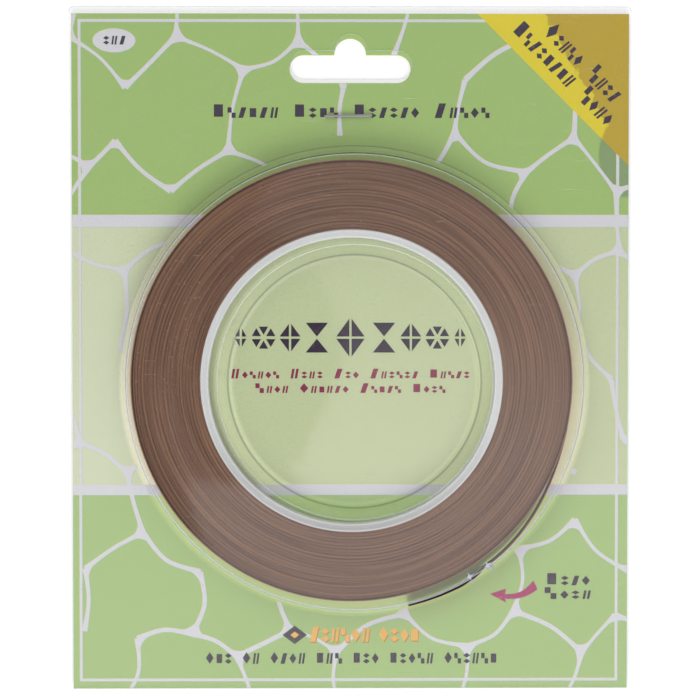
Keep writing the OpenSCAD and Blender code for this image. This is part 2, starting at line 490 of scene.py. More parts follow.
def round_the_roll(n, x, y, radial, around):
    """Coordinates that follow the winding: fine across the turns, long round them."""
    dx = n.minus(x, ROLL.x)
    dy = n.minus(y, ROLL.y)
    radius = distance_from(n, x, y, ROLL)
    joined = n.add("CombineXYZ")
    n.set(joined, "0", n.times(radius, radial))
    n.set(joined, "1", n.times(n.math("DIVIDE", dx, radius), around))
    n.set(joined, "2", n.times(n.math("DIVIDE", dy, radius), around))
    return joined.outputs[0], radius


def winding_material():
    """Edges of foil and paper seen end on: brown, in fine concentric lines."""
    n = Nodes("tape_edges")
    vector, x, y, _ = n.position()
    fine, radius = round_the_roll(n, x, y, 1.9, 1.0)
    drift, _ = round_the_roll(n, x, y, 0.10, 1.2)
    patch, _ = round_the_roll(n, x, y, 0.5, 2.4)
    lines = n.noise(fine, 1.0, 1.6, 0.75)
    slow = n.line(n.noise(drift, 1.0, 1.0), 3.0, n.times(radius, 7.4))
    rings = n.line(n.math("SINE", slow), 0.5, 0.5)
    rings = n.times(n.math("POWER", rings, 3.0), n.noise(patch, 1.0, 2.0))
    tone = n.minus(lines, n.line(rings, 0.24, -0.02))
    ramp = n.add("ValToRGB", Fac=tone)
    ramp.color_ramp.elements[0].position = 0.28
    ramp.color_ramp.elements[0].color = srgb(90, 62, 46)
    ramp.color_ramp.elements[1].position = 0.64
    ramp.color_ramp.elements[1].color = srgb(137, 102, 78)
    middle = ramp.color_ramp.elements.new(0.46)
    middle.color = srgb(115, 84, 65)
    # Painted shade: a dark band just inside the roll's outer edge; the thin copper line outside it is the
    # foil's own colour.
    rim = n.step(radius, ROLL_R - 0.75, 0.3)
    colour = n.blend(n.times(rim, 0.85), ramp.outputs[0], srgb(38, 26, 22))
    colour = n.blend(n.step(radius, ROLL_R - 0.28, 0.06), colour, srgb(170, 116, 84))
    speck = n.math("GREATER_THAN", n.noise(vector, 1.3, 1.0), 0.79)
    colour = n.blend(n.times(speck, 0.4), colour, srgb(190, 170, 155))
    return n.principled(colour, 0.5, n.bump(lines, 0.05, 0.5), Specular_IOR_Level=0.12)


def copper_material():
    """Bright foil with rubbed patches."""
    n = Nodes("copper_foil")
    vector, _, _, _ = n.position()
    rub = n.noise(vector, 0.8, 3.0, 0.6)
    colour = n.blend(rub, srgb(206, 140, 104), srgb(236, 180, 142))
    rough = n.line(rub, 0.22, 0.2)
    return n.principled(colour, rough, n.bump(rub, 0.02, 0.3), Metallic=1.0)


def liner_material():
    """Brown release paper, with painted shade making it darker past the slit, where the tail lies against the
    wall.
    """
    n = Nodes("paper_liner")
    vector, _, y, _ = n.position()
    fibre = n.noise(vector, 2.5, 4.0, 0.7)
    colour = n.blend(fibre, srgb(104, 66, 50), srgb(138, 96, 76))
    painted_tail_shade = n.blend(fibre, srgb(40, 28, 24), srgb(62, 44, 36))
    # painted shade on the tail past the slit
    colour = n.blend(n.step(y, BLISTER.y - 48.5, 2.0), painted_tail_shade, colour)
    return n.principled(colour, 0.6, n.bump(fibre, 0.02, 0.4))


def core_material():
    """Milky moulded plastic with faint turning lines; painted shade darkens it towards the bottom and painted
    highlights lighten its rims.
    """
    n = Nodes("core_plastic")
    _, x, y, _ = n.position()
    fine, radius = round_the_roll(n, x, y, 1.8, 1.2)
    lines = n.noise(fine, 1.0, 2.0)
    colour = n.blend(lines, srgb(194, 196, 193), srgb(216, 217, 215))
    # painted shade towards the bottom
    lower = n.step(n.minus(ROLL.y, y), 25.0, 30.0)
    colour = n.blend(lower, colour, srgb(166, 166, 164))
    # painted highlights along the inner and outer rims
    rims = n.rest(band(n, radius, CORE_IN_R + 0.45, CORE_OUT_R - 0.4, 0.3))
    colour = n.blend(n.times(rims, 0.5), colour, srgb(224, 225, 225))
    return n.principled(colour, 0.38, n.bump(lines, 0.03, 0.3), Subsurface_Weight=0.25,
                        Subsurface_Radius=(0.0012, 0.0013, 0.0011), Subsurface_Scale=1.0)


def steel_material():
    """Drawn wire with streaks along it."""
    n = Nodes("staple_wire")
    vector, _, _, _ = n.position()
    drawn = n.add("Mapping", Vector=vector)
    drawn.inputs["Scale"].default_value = (0.4, 6.0, 6.0)
    streaks = n.noise(drawn.outputs[0], 1.5, 3.0)
    colour = n.blend(streaks, srgb(172, 172, 174), srgb(214, 214, 216))
    rough = n.line(streaks, 0.25, 0.22)
    return n.principled(colour, rough, Metallic=1.0)


CLEAR = clear_plastic()
COPPER = copper_material()
LINER = liner_material()


# ---------------------------------------------------------------- clear cover

SEGMENTS = 400
WINDOW_FOOT_R = 60.75


def channel_profile():
    """Exposed face of the channel, from the flat sheet over the roof and down to the recess's floor."""
    wall = [(RING_R, SHEET_TOP), (61.75, SHEET_TOP), (61.35, SHEET_TOP + 0.02), (61.2, SHEET_TOP + 0.14),
            (WALL_FOOT_R - 0.02, SHEET_TOP + 0.4), (61.08, 3.4), (61.04, 5.2)]
    wall += arc(WALL_R - 0.7, ROOF_Z - 0.75, 0.7, 3, 87, 7)
    roof = [(59.3, ROOF_Z - 0.055), (57.6, ROOF_Z - 0.10), (54.0, ROOF_Z - 0.13), (49.0, ROOF_Z - 0.12),
            (44.0, ROOF_Z - 0.09), (40.0, ROOF_Z - 0.06), (38.2, ROOF_Z - 0.05)]
    rim = arc(HUB_TOP_R + 0.75, ROOF_Z - 0.68, 0.62, 90, 172, 6)
    hub = [(HUB_TOP_R + 0.1, ROOF_Z - 1.3), (36.2, 5.6), (35.5, 4.4), (34.8, 3.3), (34.42, 2.7)]
    floor = [(34.33, 2.2), (34.2, 1.9), (33.95, 1.72), (33.6, SHEET_TOP + 0.04), (32.8, SHEET_TOP)]
    return wall + roof + rim + hub + floor


def lip_profile(profile):
    """The same points with the wall's own ones pushed in, for the stretch between the slit's ends."""
    pushed = []
    for index, (r, z) in enumerate(profile):
        if index == 1:
            r = 61.2
        elif index == 2:
            r = WINDOW_FOOT_R
        elif 3 <= index <= 6:
            r = LIP_R
        elif index == 7:
            r = LIP_R - 0.02
        elif 8 <= index <= 10:
            r = min(r, LIP_R - 0.1 * (index - 7))
        pushed.append((r, z))
    return pushed


def channel(points, faces):
    """Revolved channel with the slit's lip in place; returns the ring of points on the flat sheet."""
    profile = channel_profile()
    pushed = lip_profile(profile)
    step = 360 / SEGMENTS
    first_cut, last_cut = round(SLIT_END / step), round(SLIT_START / step)
    split_rows = range(2, 11)
    columns, lip_edge = [], {}
    for s in range(SEGMENTS):
        turn = s if s < SEGMENTS / 2 else s - SEGMENTS
        source = pushed if first_cut < turn < last_cut else profile
        column = []
        for r, z in source:
            column.append(len(points))
            points.append((*polar(r, turn * step), z))
        columns.append(column)
        if turn in (first_cut, last_cut):
            edge = list(column)
            for row in split_rows:
                r, z = pushed[row]
                edge[row] = len(points)
                points.append((*polar(r, turn * step), z))
            lip_edge[s] = edge
    for s in range(SEGMENTS):
        after = (s + 1) % SEGMENTS
        turn = s if s < SEGMENTS / 2 else s - SEGMENTS
        a, b = columns[s], columns[after]
        if first_cut <= turn < last_cut:
            a, b = lip_edge.get(s, a), lip_edge.get(after, b)
        for row in range(len(profile) - 1):
            faces.append((a[row], a[row + 1], b[row + 1], b[row]))
    ring = [column[0] for column in columns]
    floor = [column[-1] for column in columns]
    return ring, floor


def recess_floor(points, faces, edge):
    """Floor of the recess: rings closing on the middle, a little uneven as formed sheet is."""
    previous = edge
    for r in (28.0, 22.0, 15.0, 8.0):
        ring = []
        for s in range(SEGMENTS):
            x, y = polar(r, s * 360 / SEGMENTS)
            lift = 0.035 * math.sin(x * 0.13 + 1.0) * math.cos(y * 0.11)
            ring.append(len(points))
            points.append((x, y, SHEET_TOP + 0.035 + lift))
        for s in range(SEGMENTS):
            t = (s + 1) % SEGMENTS
            faces.append((previous[s], ring[s], ring[t], previous[t]))
        previous = ring
    middle = len(points)
    points.append((BLISTER.x, BLISTER.y, SHEET_TOP + 0.03))
    for s in range(SEGMENTS):
        faces.append((previous[s], middle, previous[(s + 1) % SEGMENTS]))


# The card's hang hole, from the card's middle, and the dome for the peg, from the hole's middle
HOLE_RIGHT, HOLE_UP = -0.1, 75.7
HOLE_LENGTH = 32.3
HOLE_R = 3.7
DOME_UP = 3.9
DOME_R = 4.2


def hang_hole_outline(dx=0.0, dy=0.0, grow=0.0):
    """Slot with round ends and a dome for the peg, anticlockwise."""
    cx, cy = CARD_X + HOLE_RIGHT + dx, CARD_Y + HOLE_UP + dy
    r, dome_r = HOLE_R + grow, DOME_R + grow
    half = HOLE_LENGTH / 2 - HOLE_R
    reach = math.degrees(math.asin((r - DOME_UP) / dome_r))
    outline = [(cx + half + x, cy + y) for x, y in arc(0, 0, r, -90, 90, 14)]
    outline += [(cx + x, cy + y) for x, y in arc(0, DOME_UP, dome_r, reach, 180 - reach, 24)]
    outline += [(cx - half + x, cy + y) for x, y in arc(0, 0, r, 90, 270, 14)]
    return outline


# How far the sheet's hang hole lies from the card's
SHEET_HOLE_SHIFT = (0.3, 1.1)
FOLD_W = 8.0
BEND_R = 0.7
SHEET_CORNER_R = 1.5
FOLD_TOP = CARD_Y + CARD_HALF_H - SHEET_CORNER_R - 1.0
EDGE_STEP = 3.0


def sheet_outline():
    """Flat part of the sheet, anticlockwise: bend lines at the sides, round top corners."""
    bend_x = cover_high.x - BEND_R
    rows = math.ceil((FOLD_TOP - cover_low.y) / EDGE_STEP)
    heights = [mix(cover_low.y, FOLD_TOP, i / rows) for i in range(rows + 1)]
    columns = 48
    bottom = [(mix(-bend_x, bend_x, i / columns), cover_low.y) for i in range(1, columns)]
    right = [(bend_x, y) for y in heights]
    top_x, corner_y = cover_high.x - SHEET_CORNER_R, cover_high.y - SHEET_CORNER_R
    corner = arc(top_x, corner_y, SHEET_CORNER_R, 0, 90, 8)
    top = [(mix(top_x, -top_x, i / columns), cover_high.y) for i in range(1, columns)]
    other = [(-x, y) for x, y in reversed(corner)]
    left = [(-bend_x, y) for y in reversed(heights)]
    outline = bottom + right + [(cover_high.x, FOLD_TOP + 0.4)] + corner + top
    outline += other + [(-cover_high.x, FOLD_TOP + 0.4)] + left
    return outline, heights


def sheet_height(x, y):
    """The flat sheet lies on the card, less flat between the edges and the blister."""
    away = math.hypot(x - BLISTER.x, y - BLISTER.y) - RING_R
    hole = math.hypot(max(0, abs(x - CARD_X) - 12.5), y - (CARD_Y + 77.5)) - 7.0
    inset = min(cover_high.x - abs(x), y - cover_low.y, cover_high.y - y, hole)
    free = smooth(away / 8) * smooth(inset / 7)
    wave = math.sin(x * 0.09 + 0.6) * math.cos(y * 0.075) + 0.5 * math.sin(x * 0.05 - y * 0.12)
    return SHEET_TOP + free * 0.02 * (1 + wave)


def bead(x, y):
    """Shallow ring formed into the sheet just outside the channel."""
    d = abs(math.hypot(x - BLISTER.x, y - BLISTER.y) - BEAD_R)
    return 0.07 * smooth(1 - d / 0.5)


def fill_sheet(points, faces, ring, outline):
    """Triangles between the outline, the hang hole and the channel's ring."""
    verts, edges = [], []
    hole = hang_hole_outline(*SHEET_HOLE_SHIFT)

    def loop(loop_points):
        first = len(verts)
        verts.extend(Vector(p) for p in loop_points)
        count = len(loop_points)
        edges.extend((first + i, first + (i + 1) % count) for i in range(count))

    loop([points[i][:2] for i in ring])
    loop(outline)
    loop(hole)
    for r in (62.5, 62.62, 62.74, 62.85, 62.96, 63.08, 63.2, 63.35, 63.5, 64.2, 66.0):
        loop([polar(r, 360 * i / 200) for i in range(200)])
    spacing = 4.0
    x = -cover_high.x + spacing / 2
    while x < cover_high.x - 1.5:
        y = cover_low.y + spacing / 2
        while y < cover_high.y - 1.5:
            if math.hypot(x - BLISTER.x, y - BLISTER.y) > 67.5:
                verts.append(Vector((x, y)))
            y += spacing
        x += spacing
    out, _, triangles, origins, _, _ = delaunay_2d_cdt(verts, edges, [], 0, 1e-5)
    ring_of = {}
    for index, origin in enumerate(origins):
        for source in origin:
            if source < len(ring):
                ring_of[index] = ring[source]
    made = {}

    def point(index):
        if index in ring_of:
            return ring_of[index]
        if index not in made:
            px, py = out[index]
            made[index] = len(points)
            points.append((px, py, sheet_height(px, py) + bead(px, py)))
        return made[index]

    for triangle in triangles:
        mx = sum(out[i].x for i in triangle) / 3
        my = sum(out[i].y for i in triangle) / 3
        if math.hypot(mx - BLISTER.x, my - BLISTER.y) < RING_R * math.cos(math.pi / SEGMENTS):
            continue
        if inside(mx, my, hole) or not inside(mx, my, outline):
            continue
        faces.append(tuple(point(i) for i in triangle))
    return {(round(out[i].x, 3), round(out[i].y, 3)): k for i, k in made.items()}


def inside(x, y, outline):
    """True if the point lies within a closed outline."""
    found = False
    for (x1, y1), (x2, y2) in zip(outline, outline[1:] + outline[:1]):
        if (y1 > y) != (y2 > y) and x < (x2 - x1) * (y - y1) / (y2 - y1) + x1:
            found = not found
    return found


def fold_edges(points, faces, heights, where):
    """Each side bends down past the card's edge and runs back behind it."""
    top, side = SHEET_TOP, cover_high.x
    path = arc(side - BEND_R, top - BEND_R, BEND_R, 90, 0, 5)[1:]
    path += arc(side - BEND_R, BEND_R, BEND_R, 0, -90, 5)
    path += [(side - 2.5, 0.0), (side - 5.0, 0.0), (side - FOLD_W + 0.15, 0.0), (side - FOLD_W, 0.02)]
    for sign in (1, -1):
        rows = []
        for y in heights:
            start = where[(round(sign * (side - BEND_R), 3), round(y, 3))]
            row = [start]
            for x, z in path:
                row.append(len(points))
                points.append((sign * x, y, z))
            rows.append(row)
        for low, high in zip(rows, rows[1:]):
            for j in range(len(path)):
                quad = (low[j], low[j + 1], high[j + 1], high[j])
                faces.append(quad if sign > 0 else quad[::-1])


def build_cover():
    """The whole clear sheet, one skin given its thickness."""
    points, faces = [], []
    ring, floor = channel(points, faces)
    recess_floor(points, faces, floor)
    outline, heights = sheet_outline()
    where = fill_sheet(points, faces, ring, outline)
    fold_edges(points, faces, heights, where)
    cover = to_mesh("clear_cover", points, faces, [CLEAR])
    turn_outwards(cover)
    shell = cover.modifiers.new("thickness", "SOLIDIFY")
    shell.thickness = SHEET_T * MM
    shell.offset = -1
    shell.use_even_offset = False
    settle(cover, 40)
    return place(cover, "dispenser", "clear_plastic", "blister_cover")


def edge_ribbon(points, faces, outline, width, z, closed=True):
    """Flat ribbon along an outline, just inside the sheet, to carry the cut edge's line."""
    first, count = len(points), len(outline)
    for i, (x, y) in enumerate(outline):
        before = outline[(i - 1) % count] if closed or i else outline[i]
        after = outline[(i + 1) % count] if closed or i < count - 1 else outline[i]
        along = (Vector(after) - Vector(before)).normalized()
        points += [(x, y, z), (x + along.y * width, y - along.x * width, z)]
    for i in range(count if closed else count - 1):
        a, b = first + 2 * i, first + 2 * ((i + 1) % count)
        faces.append((a, a + 1, b + 1, b))


def build_cut_edges():
    """Fine lines along the cut edges of the sheet: hang hole, top and bottom."""
    points, faces = [], []
    z = SHEET_TOP + 0.012
    edge_ribbon(points, faces, hang_hole_outline(*SHEET_HOLE_SHIFT), 0.16, z)
    x, y = cover_high.x, cover_high.y
    r = SHEET_CORNER_R
    top = arc(x - r, y - r, r, 0, 90, 8) + arc(r - x, y - r, r, 90, 180, 8)
    edge_ribbon(points, faces, [(px, py) for px, py in reversed(top)], 0.18, z, closed=False)
    edge_ribbon(points, faces, [(x - BEND_R, cover_low.y), (BEND_R - x, cover_low.y)], 0.14, z, closed=False)
    piece = to_mesh("sheet_edges", points, faces, [cut_edge_plastic()], shade_smooth=False)
    return place(piece, "dispenser", "clear_plastic")


def turn_outwards(piece):
    """Makes the faces agree, with the roof's looking up."""
    mesh = bmesh.new()
    mesh.from_mesh(piece.data)
    bmesh.ops.recalc_face_normals(mesh, faces=mesh.faces)
    highest = max(mesh.faces, key=lambda f: f.calc_center_median().z)
    if highest.normal.z < 0:
        bmesh.ops.reverse_faces(mesh, faces=mesh.faces)
    mesh.to_mesh(piece.data)
    mesh.free()


def build_stress_marks():
    """Small creased stars at the slit's four corners, where the punch tore the sheet."""
    white = stressed_plastic()
    points, faces = [], []
    for angle in (SLIT_START, SLIT_END):
        for r, z, size in ((WALL_R - 0.85, ROOF_Z - 0.17, 1.25), (WALL_R + 1.1, SHEET_TOP + 0.02, 1.15)):
            cx, cy = polar(r, angle)
            middle = len(points)
            points.append((cx, cy, z + 0.12))
            arms = 8
            for k in range(arms):
                reach = size * (random.uniform(0.85, 1.15) if k % 2 == 0 else random.uniform(0.25, 0.4))
                a = math.radians(angle) + TAU * k / arms + random.uniform(-0.15, 0.15)
                points.append((cx + reach * math.cos(a), cy + reach * math.sin(a), z))
            for k in range(arms):
                faces.append((middle, middle + 1 + k, middle + 1 + (k + 1) % arms))
    marks = to_mesh("slit_stress_marks", points, faces, [white], shade_smooth=False)
    thick = marks.modifiers.new("thickness", "SOLIDIFY")
    thick.thickness = 0.06 * MM
    thick.offset = 0
    return place(marks, "dispenser", "clear_plastic")


# ---------------------------------------------------------------- roll

def build_core():
    """Plastic ring with rounded rims and a shallow groove round its outside."""
    low, high = core_low.z, core_high.z
    r_in, r_out, edge = CORE_IN_R, CORE_OUT_R, 0.36
    section = arc(r_out - edge, low + edge, edge, -90, 0, 4)
    section += arc(r_out - edge, high - edge, edge, 0, 90, 4)
    section += [(39.7, high), (39.5, high - 0.06), (39.0, high - 0.08), (38.7, high - 0.02)]
    section += arc(r_in + edge, high - edge, edge, 90, 180, 4)
    section += arc(r_in + edge, low + edge, edge, 180, 270, 4)
    points = [(*polar(r, 360 * s / 256, ROLL), z) for s in range(256) for r, z in section]
    faces = grid_faces(256, len(section), closed_rows=True, closed_columns=True)
    core = to_mesh("core_ring", points, faces, [core_material()])
    turn_outwards(core)
    return place(core, "roll", "core_plastic", "roll_core")


def build_windings():
    """One long spiral: each turn is a step of paper and a step of foil, at slightly uneven heights."""
    turns = round((ROLL_R - PITCH - CORE_OUT_R) / PITCH)
    pitch = (ROLL_R - PITCH - CORE_OUT_R) / turns
    steps = 150
    lifts = [random.gauss(0, 0.02) for _ in range(turns + 2)]
    sways = [random.uniform(0, TAU) for _ in range(turns + 2)]

    def top(turn, angle):
        """Height of a turn's edge; it drifts round the roll and carries on into the next turn."""
        share = angle / 360
        lift = mix(lifts[turn], lifts[turn + 1], share)
        sway = mix(math.sin(sways[turn] + math.radians(angle)),
                   math.sin(sways[turn + 1] + math.radians(angle)), share)
        return tape_high.z - 0.07 + min(0.07, lift + 0.02 * sway)

    points, faces = [], []
    for s in range(steps + 1):
        angle = 360 * s / steps
        for turn in range(turns):
            start = CORE_OUT_R + pitch * (turn + s / steps) - (pitch if turn == 0 and s == 0 else 0)
            start = max(CORE_OUT_R, start)
            paper = start + pitch * LINER_T / PITCH
            end = start + pitch
            height = top(turn, angle)
            for r, z in ((start, height - 0.045), (paper, height - 0.045), (paper, height), (end, height)):
                points.append((*polar(min(r, ROLL_R - PITCH), angle, ROLL), z))
    across = 4 * turns
    faces += grid_faces(steps + 1, across)
    side = len(points)
    for s in range(steps):
        angle = 360 * s / steps
        for r in (ROLL_R - PITCH, CORE_OUT_R):
            points.append((*polar(r, angle, ROLL), tape_high.z - 0.14))
            points.append((*polar(r, angle, ROLL), tape_low.z))
    for s in range(steps):
        a, b = side + 4 * s, side + 4 * ((s + 1) % steps)
        faces += [(a, a + 1, b + 1, b), (a + 1, a + 3, b + 3, b + 1), (a + 3, a + 2, b + 2, b + 3)]
        faces.append((a + 2, a, b, b + 2))
    windings = to_mesh("tape_spiral", points, faces, [winding_material()], shade_smooth=False)
    return place(windings, "roll", "windings", "tape_windings")


# ---------------------------------------------------------------- tape end

LEAD_START = -12.0
TAIL_END = -76.5


def rim_distance(degrees):
    """Distance of the roll's rim from the blister's middle."""
    a = math.radians(degrees)
    offset = ROLL - BLISTER
    along = offset.x * math.cos(a) + offset.y * math.sin(a)
    across = offset.y * math.cos(a) - offset.x * math.sin(a)
    return along + math.sqrt(ROLL_R ** 2 - across ** 2)


def strip_distance(degrees):
    """The strip's inner face: off the roll, out to the wall, through the slit, along the wall."""
    start = rim_distance(LEAD_START) - PITCH / 2
    wall_run = WALL_R - SHEET_T - PITCH - 0.11
    outside = WALL_FOOT_R + 0.07
    if degrees > SLIT_START:
        return mix(start, wall_run, smooth((degrees - LEAD_START) / (SLIT_START - LEAD_START)))
    if degrees > SLIT_END:
        return mix(wall_run, outside, smooth((degrees - SLIT_START) / (SLIT_END + 0.2 - SLIT_START)))
    return mix(outside, outside + 0.13, (degrees - SLIT_END) / (TAIL_END - SLIT_END))


def strip_lean(degrees):
    """How far the strip's top edge stands out beyond its foot: most just past the slit."""
    past = SLIT_END - degrees
    return 0.05 + 0.28 * smooth(past / 3) * mix(1.0, 0.0, past / (SLIT_END - TAIL_END))


def build_strip(name, depth, thick, material, nodes):
    """A ribbon on edge along the strip's path, at a depth within the strip's thickness."""
    count, rows = 260, 5
    low, high = tape_low.z, tape_high.z
    points = []
    for i in range(count + 1):
        degrees = mix(LEAD_START, TAIL_END, i / count)
        ease = smooth((LEAD_START - degrees) / 5)
        for face in (0, 1):
            levels = range(rows) if face == 0 else reversed(range(rows))
            for level in levels:
                share = level / (rows - 1)
                r = strip_distance(degrees) + depth + face * thick
                r += strip_lean(degrees) * share * ease
                r += 0.03 * math.sin(share * math.pi) * ease
                points.append((*polar(r, degrees), mix(low, high, share)))
    strip = to_mesh(name, points, tube_faces(count + 1, 2 * rows), [material], shade_smooth=False)
    turn_outwards(strip)
    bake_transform(strip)
    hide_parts(*nodes)
    return strip


# ---------------------------------------------------------------- staple

def build_staple():
    """Flattened wire with round shoulders, driven through cover and card and clinched behind."""
    low, high = node_box("staple")
    centre = (low + high) / 2
    half, wire_w, wire_t = 6.4, 0.7, 0.5
    tilt = math.radians(1)
    top, leg = high.z - wire_t / 2, half - wire_t / 2
    bottom, bend = low.z + wire_t / 2, 0.35
    right = arc(leg - bend, top - bend, bend, 90, 0, 5)
    right += arc(leg - bend, bottom + bend, bend, 0, -90, 5)
    right += [(leg - 2.0, bottom + 0.02), (leg - 3.6, bottom + 0.12)]
    path = [(-x, z) for x, z in reversed(right)] + [(x, z) for x, z in right]
    half_w, half_t, edge = wire_w / 2, wire_t / 2, 0.16
    section = []
    for sx, sz, start in ((1, 1, 0), (-1, 1, 90), (-1, -1, 180), (1, -1, 270)):
        section += arc(sx * (half_w - edge), sz * (half_t - edge), edge, start, start + 90, 3)
    points = []
    for i, (x, z) in enumerate(path):
        before, after = path[max(0, i - 1)], path[min(len(path) - 1, i + 1)]
        direction = Vector((after[0] - before[0], after[1] - before[1])).normalized()
        shrink = 0.55 if i in (0, len(path) - 1) else 1.0
        for across, out in section:
            px = x + direction.y * -out * shrink
            pz = z + direction.x * out * shrink
            py = across * shrink
            points.append((centre.x + px * math.cos(tilt) - py * math.sin(tilt),
                           centre.y + px * math.sin(tilt) + py * math.cos(tilt), pz))
    staple = to_mesh("wire_staple", points, tube_faces(len(path), len(section)), [steel_material()])
    turn_outwards(staple)
    return place(staple, "dispenser", "steel", "staple")


# ---------------------------------------------------------------- printed artwork

FRINGE_Z = CARD_TOP + 0.004
LAVENDER_Z = CARD_TOP + 0.012
CORNER_Z = CARD_TOP + 0.018
SHADOW_Z = CARD_TOP + 0.022
MARK_Z = CARD_TOP + 0.028

# Frame line and corner flash, from the card's middle
FRAME_LEFT, FRAME_RIGHT = -72.4, 71.6
FRAME_LOW, FRAME_HIGH = -88.2, 88.6
FRAME_LINE = 0.7
FLASH_LEG = 40.5

# Net of pale veins over the panels: how long a vein is, how far its joints stray, how many are kept,
# and how far along its veins the web in a corner reaches
VEIN_LENGTH = 17.0
VEIN_SHIFT = 4.0
VEIN_SHARE = 0.85
WEB_REACH = 6.0

CURVE_STEP = 1.2


def card_point(x, y):
    """From the card's middle to the frame."""
    return CARD_X + x, CARD_Y + y


def smooth_path(controls, steps=0):
    """Points on a curve through the control points, CURVE_STEP apart or so many to a stretch."""
    ends = [controls[0]] + controls + [controls[-1]]
    path = []
    for a, b, c, d in zip(ends, ends[1:], ends[2:], ends[3:]):
        a, b, c, d = Vector(a), Vector(b), Vector(c), Vector(d)
        count = steps or max(2, round((c - b).length / CURVE_STEP))
        for i in range(count):
            t = i / count
            path.append(0.5 * (2 * b + (c - a) * t + (2 * a - 5 * b + 4 * c - d) * t * t
                               + (3 * b - a - 3 * c + d) * t ** 3))
    path.append(Vector(controls[-1]))
    return path


def ribbon(path, width):
    """Quads along a path; width(share) is the ribbon's width there."""
    sides = []
    for i, point in enumerate(path):
        along = (path[min(i + 1, len(path) - 1)] - path[max(i - 1, 0)]).normalized()
        out = Vector((-along.y, along.x)) * width(i / (len(path) - 1)) / 2
        sides.append((point - out, point + out))
    return [(a[0], b[0], b[1], a[1]) for a, b in zip(sides, sides[1:])]


def leaded_veins():
    """Bowed veins between the joints of a shaken honeycomb; each has its points and three widths."""
    chance = random.Random(5)
    joints = {}
    for i in range(-6, 7):
        for j in range(-4, 5):
            up = 0.25 if (i + j) % 2 == 0 else -0.25
            joints[i, j] = (VEIN_LENGTH * i * math.sqrt(0.75) + chance.uniform(-VEIN_SHIFT, VEIN_SHIFT),
                            VEIN_LENGTH * (1.5 * j + up) + chance.uniform(-VEIN_SHIFT, VEIN_SHIFT))
    veins = []
    for (i, j), start in joints.items():
        neighbours = [(i + 1, j), (i, j + 1)] if (i + j) % 2 == 0 else [(i + 1, j)]
        for other in neighbours:
            if other not in joints or chance.random() > VEIN_SHARE:
                continue
            end = joints[other]
            bow = chance.uniform(-0.14, 0.14)
            middle = ((start[0] + end[0]) / 2 - (end[1] - start[1]) * bow,
                      (start[1] + end[1]) / 2 + (end[0] - start[0]) * bow)
            veins.append(([start, middle, end], (1.5, chance.uniform(0.8, 1.2), 1.5)))
    return veins


def vein_polygons():
    """Ribbons for every vein and a web in each corner where veins meet."""
    joints, polygons = {}, []
    for vein, (first, mid, last) in leaded_veins():
        path = smooth_path(vein)
        reach = min(len(path) // 2, round(WEB_REACH / CURVE_STEP))
        joints.setdefault(vein[0], []).append(path[reach] - path[0])
        joints.setdefault(vein[-1], []).append(path[-1 - reach] - path[-1])
        polygons += ribbon(path, lambda t: mix(first, last, t)
                           + (mid - mix(first, last, t)) * smooth(4 * t * (1 - t)))
    for joint, arms in joints.items():
        polygons += webs(Vector(joint), arms)
    return polygons


def webs(joint, arms):
    """Curved fill between neighbouring arms of a joint."""
    if len(arms) < 2:
        return []
    arms = sorted(arms, key=lambda arm: math.atan2(arm.y, arm.x))
    polygons = []
    for a, b in zip(arms, arms[1:] + arms[:1]):
        turn = (math.atan2(b.y, b.x) - math.atan2(a.y, a.x)) % TAU
        if 0.15 < turn < math.pi * 0.98:
            curve = []
            for i in range(9):
                t = i / 8
                curve.append(joint + a * (1 - t) ** 2 + b * t ** 2)
            polygons += [(joint, p, q) for p, q in zip(curve, curve[1:])]
    return polygons


def box_polygon(x1, y1, x2, y2):
    return [(x1, y1), (x2, y1), (x2, y2), (x1, y2)]


def oval(cx, cy, rx, ry):
    return [(cx + rx * math.cos(TAU * i / 48), cy + ry * math.sin(TAU * i / 48)) for i in range(48)]


def boxed(shapes):
    """Each shape after its box's lowest and highest corner, so that far ones are passed over."""
    return [(min(p[0] for p in s), min(p[1] for p in s), max(p[0] for p in s), max(p[1] for p in s),
             [tuple(p) for p in s]) for s in shapes]


def covered(x, y, shapes):
    return any(x1 <= x <= x2 and y1 <= y <= y2 and inside(x, y, s) for x1, y1, x2, y2, s in shapes)


